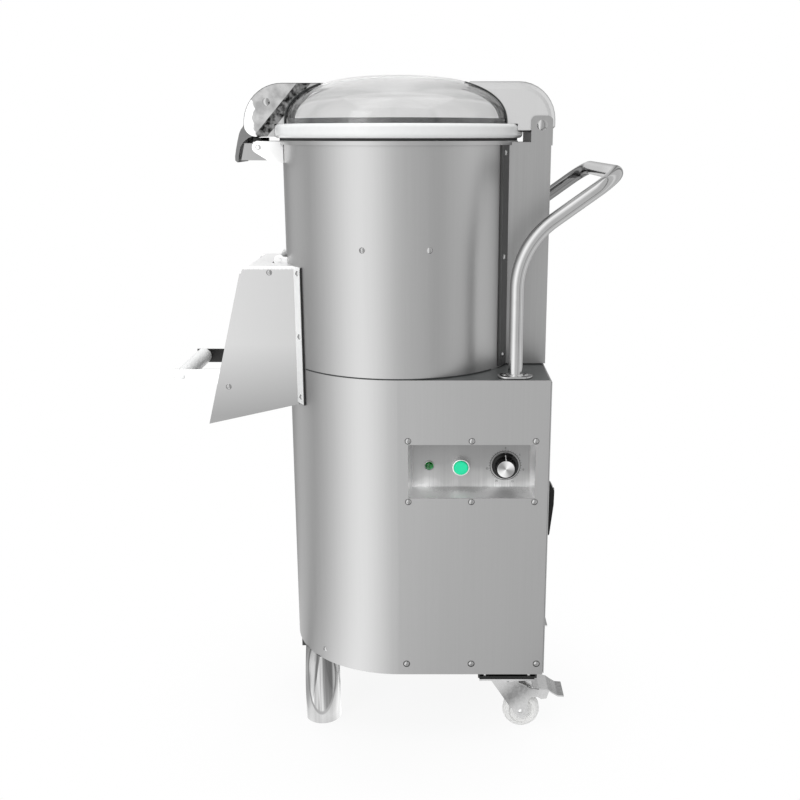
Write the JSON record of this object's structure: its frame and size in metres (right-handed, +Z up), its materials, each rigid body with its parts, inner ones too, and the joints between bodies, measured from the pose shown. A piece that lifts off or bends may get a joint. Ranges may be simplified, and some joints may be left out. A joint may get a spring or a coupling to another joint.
{
  "type": "electric potato peeler",
  "caption": "Floor-standing potato peeler: round steel barrel on a D-shaped cabinet, clear hinged dome lid, discharge flap and hood, push handle, legs and casters.",
  "frame": {"origin": "on the floor, under the middle of the machine's outline", "axes": "+Z up, -Y towards the person at the controls, -X towards the discharge hood"},
  "size_m": [0.7014, 0.401, 1.071],
  "materials": {
    "brushed_steel": "satin brushed stainless steel",
    "pale_steel": "light satin stainless steel",
    "polished_steel": "polished stainless steel",
    "deck_steel": "dark grey satin",
    "zinc": "zinc-plated pressed steel",
    "white_nylon": "white nylon",
    "black_plastic": "black satin plastic",
    "black_rubber": "black rubber",
    "clear_dome": "clear polycarbonate",
    "grit": "bonded abrasive grit",
    "cast_grey": "grey cast iron",
    "cast_aluminium": "cast aluminium with an abrasive coat",
    "green_lens": "green translucent plastic"
  },
  "bodies": {
    "machine": {"cabinet_shell": "brushed_steel", "base_plate": "brushed_steel", "inner_frame": "brushed_steel", "deck_plate": "deck_steel", "under_frame": "brushed_steel", "legs": "polished_steel", "caster_plates": "zinc", "caster_bolts": "zinc", "barrel": "brushed_steel", "abrasive_liner": "grit", "latch_keeper": "pale_steel", "hinge_tower": "brushed_steel", "dome_screws": "polished_steel", "lid_hinge_pin": "polished_steel", "push_handle": "polished_steel", "handle_bolts": "polished_steel", "discharge_hood": "pale_steel", "flap_hinge": "pale_steel", "bearing_housing": "cast_grey", "spindle_bearings": "polished_steel", "shaft_seal": "black_rubber", "motor_body": "cast_grey", "v_belt": "black_rubber", "drain_pipe": "brushed_steel", "water_inlet": "polished_steel", "control_tray": "brushed_steel", "pilot_lamp": "green_lens", "button_bezel": "pale_steel", "timer_body": "black_plastic", "cable_gland": "black_plastic"},
    "spindle": {"abrasive_disc": "cast_aluminium", "spindle_shaft": "polished_steel", "large_pulley": "cast_grey"},
    "rotor": {"motor_shaft": "polished_steel", "motor_pulley": "cast_grey"},
    "lid": {"lid_dome": "clear_dome", "lid_ring": "white_nylon", "lid_seal": "black_rubber", "lid_handle": "polished_steel", "lid_hinge_cover": "pale_steel", "edge_trims": "black_rubber", "lid_pins": "polished_steel"},
    "latch": {"latch_lever": "brushed_steel"},
    "flap": {"discharge_flap": "brushed_steel", "flap_seal": "black_rubber", "flap_arms": "pale_steel", "flap_grip": "pale_steel"},
    "swivel_front": {"caster_fork_front": "zinc"},
    "swivel_rear": {"caster_fork_rear": "zinc"},
    "wheel_front": {"caster_wheel_front": "white_nylon"},
    "wheel_rear": {"caster_wheel_rear": "white_nylon"},
    "brake_front": {"caster_brake_front": "zinc"},
    "brake_rear": {"caster_brake_rear": "zinc"},
    "button": {"start_button": "green_lens"},
    "knob": {"timer_knob": "black_plastic", "knob_cap": "polished_steel"},
    "side_door": {"access_door": "brushed_steel", "lock_plate": "black_plastic"},
    "lock": {"lock_lever": "black_plastic", "lock_cam": "polished_steel"}
  },
  "joints": [
    {"name": "lid_hinge", "type": "hinge", "parent": "machine", "child": "lid", "pos_m": [0.23415, 0, 0.995], "axis": [0, 1, 0], "range_deg": [0, 100]},
    {"name": "latch_pivot", "type": "hinge", "parent": "lid", "child": "latch", "pos_m": [-0.19025, 0, 1.03], "axis": [0, 1, 0], "range_deg": [0, 25]},
    {"name": "spindle_spin", "type": "hinge", "parent": "machine", "child": "spindle", "pos_m": [0.01275, 0, 0.56], "axis": [0, 0, 1], "continuous": true},
    {"name": "rotor_spin", "type": "hinge", "parent": "machine", "child": "rotor", "pos_m": [0.14075, 0.045, 0.4], "axis": [0, 0, 1], "continuous": true},
    {"name": "flap_hinge", "type": "hinge", "parent": "machine", "child": "flap", "pos_m": [-0.17925, 0, 0.786], "axis": [0, 1, 0], "range_deg": [0, 45]},
    {"name": "swivel_front_turn", "type": "hinge", "parent": "machine", "child": "swivel_front", "pos_m": [0.19075, -0.127, 0.093], "axis": [0, 0, 1], "continuous": true},
    {"name": "swivel_rear_turn", "type": "hinge", "parent": "machine", "child": "swivel_rear", "pos_m": [0.19075, 0.127, 0.093], "axis": [0, 0, 1], "continuous": true},
    {"name": "wheel_front_roll", "type": "hinge", "parent": "swivel_front", "child": "wheel_front", "pos_m": [0.21775, -0.127, 0.0315], "axis": [0, 1, 0], "continuous": true},
    {"name": "wheel_rear_roll", "type": "hinge", "parent": "swivel_rear", "child": "wheel_rear", "pos_m": [0.21775, 0.127, 0.0315], "axis": [0, 1, 0], "continuous": true},
    {"name": "brake_front_pedal", "type": "hinge", "parent": "swivel_front", "child": "brake_front", "pos_m": [0.24175, -0.127, 0.068], "axis": [0, 1, 0], "range_deg": [0, 10]},
    {"name": "brake_rear_pedal", "type": "hinge", "parent": "swivel_rear", "child": "brake_rear", "pos_m": [0.24175, 0.127, 0.068], "axis": [0, 1, 0], "range_deg": [0, 10]},
    {"name": "start_press", "type": "slide", "parent": "machine", "child": "button", "axis": [0, 1, 0], "range_m": [0, 0.003], "stiffness_N_per_m": 300},
    {"name": "timer_turn", "type": "hinge", "parent": "machine", "child": "knob", "pos_m": [0.18125, -0.16, 0.476], "axis": [0, 1, 0], "range_deg": [0, 300]},
    {"name": "side_door_hinge", "type": "hinge", "parent": "machine", "child": "side_door", "pos_m": [0.24825, 0.1892, 0.37], "axis": [0, 0, 1], "range_deg": [0, 110]},
    {"name": "lock_turn", "type": "hinge", "parent": "side_door", "child": "lock", "pos_m": [0.25075, -0.15, 0.431], "axis": [1, 0, 0], "range_deg": [0, 90]}
  ],
  "couplings": [
    {"joint": "rotor_spin", "follows": "spindle_spin", "ratio": 4}
  ]
}
